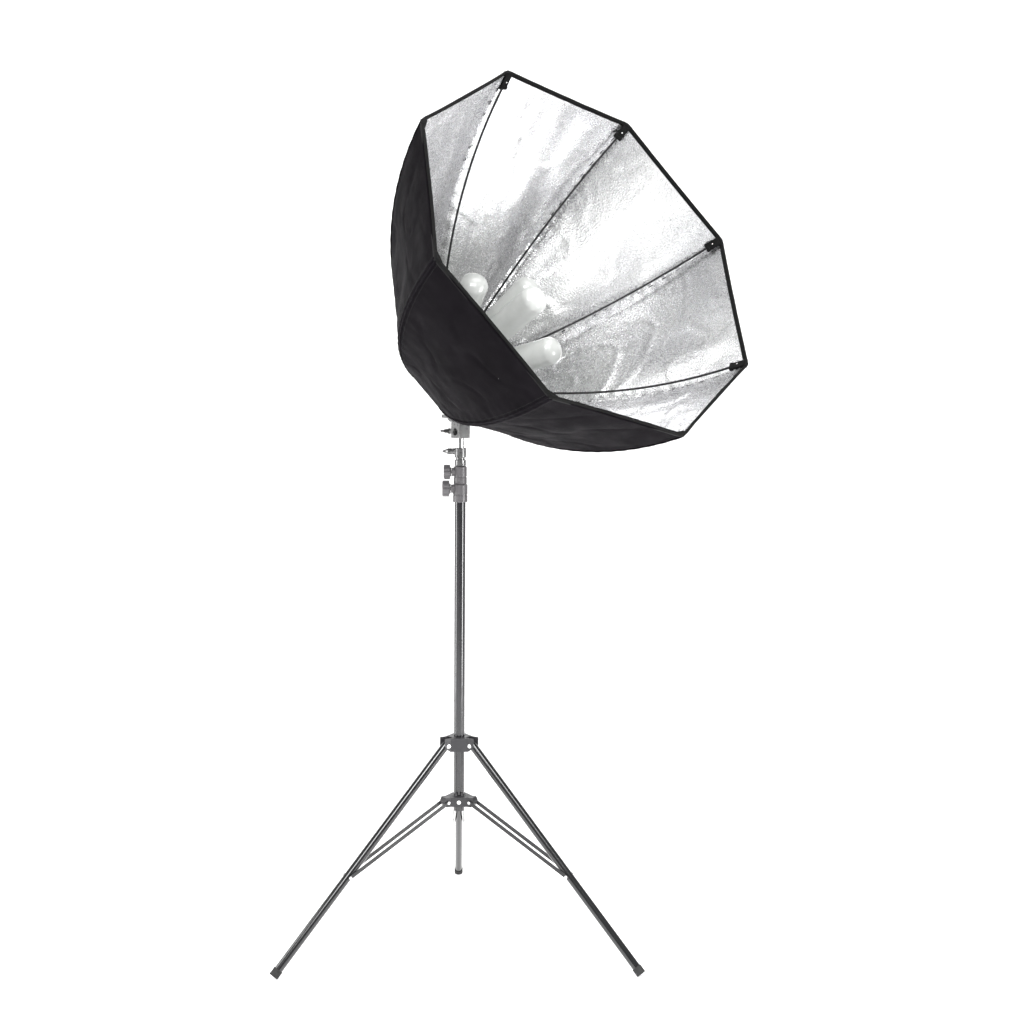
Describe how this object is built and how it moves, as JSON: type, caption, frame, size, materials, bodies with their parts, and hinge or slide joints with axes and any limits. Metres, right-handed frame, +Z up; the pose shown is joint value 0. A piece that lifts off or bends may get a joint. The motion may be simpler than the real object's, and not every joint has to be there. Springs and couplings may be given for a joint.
{
  "type": "studio softbox light on a folding stand",
  "caption": "Open eight-sided softbox with silver lining and cylindrical lamps, tilting on a telescopic tripod stand whose legs fold with braces.",
  "frame": {"origin": "on the floor, on the axis of the mast, between the three feet", "axes": "+Z up the mast; the softbox faces -Y and leans back by 28.5 degrees; +X is across the tilt axis"},
  "size_m": [0.8943, 0.9983, 1.9449],
  "materials": {
    "satin_black_tube": "black, satin",
    "gloss_black_leg": "black, gloss",
    "strut_black": "satin",
    "black_plastic": "matte",
    "grey_plastic": "satin",
    "rubber_black": "matte",
    "bright_steel": "polished",
    "cast_grey": "bead blasted",
    "black_metal": "black, satin",
    "spring_wire": "satin",
    "ballast_white": "gloss",
    "frosted_glass": "frosted",
    "nylon": "woven black outside, silver lining inside",
    "webbing": "woven"
  },
  "bodies": {
    "stand_base": {"mast_lower_tube": "satin_black_tube", "spreader_hub": "black_plastic", "strut_hub_bolts": "bright_steel", "hub_fixing_screw": "bright_steel", "lower_lock_collar": "grey_plastic"},
    "leg_slider": {"leg_collar": "black_plastic", "leg_pivot_bolts": "bright_steel"},
    "mid_section": {"mast_mid_tube": "satin_black_tube", "mid_tube_guide_bush": "black_plastic", "upper_lock_collar": "grey_plastic"},
    "top_section": {"mast_top_tube": "satin_black_tube", "top_tube_guide_bush": "black_plastic", "top_receiver": "cast_grey", "spigot": "bright_steel"},
    "lower_knob": {"lower_lock_knob": "grey_plastic"},
    "upper_knob": {"upper_lock_knob": "grey_plastic"},
    "receiver_screw": {"receiver_t_screw": "cast_grey"},
    "bracket": {"bracket_body": "cast_grey", "tilt_bolt": "bright_steel"},
    "bracket_screw": {"bracket_t_screw": "cast_grey"},
    "tilt_knob": {"tilt_lever": "cast_grey"},
    "head": {"tilt_plate": "cast_grey", "head_housing": "black_metal", "speed_ring": "black_metal", "head_rear_cover": "black_plastic", "cable_gland": "black_plastic", "lamp_holders": "black_plastic", "bulb_bases": "ballast_white", "bulb_1": "frosted_glass", "bulb_2": "frosted_glass", "bulb_3": "frosted_glass", "bulb_4": "frosted_glass", "bulb_5": "frosted_glass", "canopy_panel_1": "nylon", "canopy_panel_2": "nylon", "canopy_panel_3": "nylon", "canopy_panel_4": "nylon", "canopy_panel_5": "nylon", "canopy_panel_6": "nylon", "canopy_panel_7": "nylon", "canopy_panel_8": "nylon", "canopy_ribs": "spring_wire", "rim_binding": "webbing", "corner_pockets": "webbing", "rear_cuff": "nylon"},
    "rear_leg": {"leg_rear_tube": "gloss_black_leg", "leg_rear_foot": "rubber_black"},
    "rear_strut": {"strut_rear_bars": "strut_black", "strut_rear_rivets": "bright_steel"},
    "left_leg": {"leg_left_tube": "gloss_black_leg", "leg_left_foot": "rubber_black"},
    "left_strut": {"strut_left_bars": "strut_black", "strut_left_rivets": "bright_steel"},
    "right_leg": {"leg_right_tube": "gloss_black_leg", "leg_right_foot": "rubber_black"},
    "right_strut": {"strut_right_bars": "strut_black", "strut_right_rivets": "bright_steel"},
    "switch_1": {"rocker_1": "black_plastic"},
    "switch_2": {"rocker_2": "black_plastic"},
    "switch_3": {"rocker_3": "black_plastic"}
  },
  "joints": [
    {"name": "leg_collar_slide", "type": "slide", "parent": "stand_base", "child": "leg_slider", "axis": [0, 0, 1], "range_m": [0, 0.5139]},
    {"name": "rear_leg_fold", "type": "hinge", "parent": "leg_slider", "child": "rear_leg", "pos_m": [0.02246, 0.02736, 0.4629], "axis": [-0.773, 0.6345, 0], "range_deg": [0, 43.1]},
    {"name": "rear_strut_fold", "type": "hinge", "parent": "stand_base", "child": "rear_strut", "pos_m": [0.02221, 0.02705, 0.3304], "axis": [0.773, -0.6345, 0], "range_deg": [0, 118.4]},
    {"name": "left_leg_fold", "type": "hinge", "parent": "leg_slider", "child": "left_leg", "pos_m": [-0.03493, 0.00577, 0.4629], "axis": [-0.163, -0.9866, 0], "range_deg": [0, 43.1]},
    {"name": "left_strut_fold", "type": "hinge", "parent": "stand_base", "child": "left_strut", "pos_m": [-0.03453, 0.0057, 0.3304], "axis": [0.163, 0.9866, 0], "range_deg": [0, 118.4]},
    {"name": "right_leg_fold", "type": "hinge", "parent": "leg_slider", "child": "right_leg", "pos_m": [0.01247, -0.03313, 0.4629], "axis": [0.9359, 0.3522, 0], "range_deg": [0, 43.1]},
    {"name": "right_strut_fold", "type": "hinge", "parent": "stand_base", "child": "right_strut", "pos_m": [0.01233, -0.03276, 0.3304], "axis": [-0.9359, -0.3522, 0], "range_deg": [0, 118.4]},
    {"name": "mid_section_slide", "type": "slide", "parent": "stand_base", "child": "mid_section", "axis": [0, 0, 1], "range_m": [0, 0.5]},
    {"name": "top_section_slide", "type": "slide", "parent": "mid_section", "child": "top_section", "axis": [0, 0, 1], "range_m": [0, 0.5]},
    {"name": "head_pan", "type": "hinge", "parent": "top_section", "child": "bracket", "pos_m": [0, 0, 1.1834], "axis": [0, 0, 1], "continuous": true},
    {"name": "head_tilt", "type": "hinge", "parent": "bracket", "child": "head", "pos_m": [0, 0, 1.2164], "axis": [1, 0, 0], "range_deg": [-25, 35]},
    {"name": "lower_knob_turn", "type": "hinge", "parent": "stand_base", "child": "lower_knob", "pos_m": [-0.02319, 0.01903, 1.052], "axis": [-0.773, 0.6345, 0], "continuous": true},
    {"name": "upper_knob_turn", "type": "hinge", "parent": "mid_section", "child": "upper_knob", "pos_m": [-0.02319, 0.01903, 1.09], "axis": [-0.773, 0.6345, 0], "continuous": true},
    {"name": "receiver_screw_turn", "type": "hinge", "parent": "top_section", "child": "receiver_screw", "pos_m": [-0.02319, 0.01903, 1.137], "axis": [-0.773, 0.6345, 0], "continuous": true},
    {"name": "bracket_screw_turn", "type": "hinge", "parent": "bracket", "child": "bracket_screw", "pos_m": [0, 0.05, 1.182], "axis": [0, 1, 0], "continuous": true},
    {"name": "tilt_knob_turn", "type": "hinge", "parent": "bracket", "child": "tilt_knob", "pos_m": [-0.03, 0, 1.2164], "axis": [-1, 0, 0], "range_deg": [-30, 60]},
    {"name": "switch_1_rock", "type": "hinge", "parent": "head", "child": "switch_1", "pos_m": [-0.024, 0.06772, 1.31799], "axis": [1, 0, 0], "range_deg": [-14, 0]},
    {"name": "switch_2_rock", "type": "hinge", "parent": "head", "child": "switch_2", "pos_m": [0, 0.06772, 1.31799], "axis": [1, 0, 0], "range_deg": [-14, 0]},
    {"name": "switch_3_rock", "type": "hinge", "parent": "head", "child": "switch_3", "pos_m": [0.024, 0.06772, 1.31799], "axis": [1, 0, 0], "range_deg": [-14, 0]}
  ],
  "couplings": [
    {"joint": "rear_leg_fold", "follows": "leg_collar_slide", "rad_per_m": 1.4614},
    {"joint": "rear_strut_fold", "follows": "leg_collar_slide", "rad_per_m": 4.015},
    {"joint": "left_leg_fold", "follows": "leg_collar_slide", "rad_per_m": 1.4614},
    {"joint": "left_strut_fold", "follows": "leg_collar_slide", "rad_per_m": 4.015},
    {"joint": "right_leg_fold", "follows": "leg_collar_slide", "rad_per_m": 1.4614},
    {"joint": "right_strut_fold", "follows": "leg_collar_slide", "rad_per_m": 4.015}
  ]
}
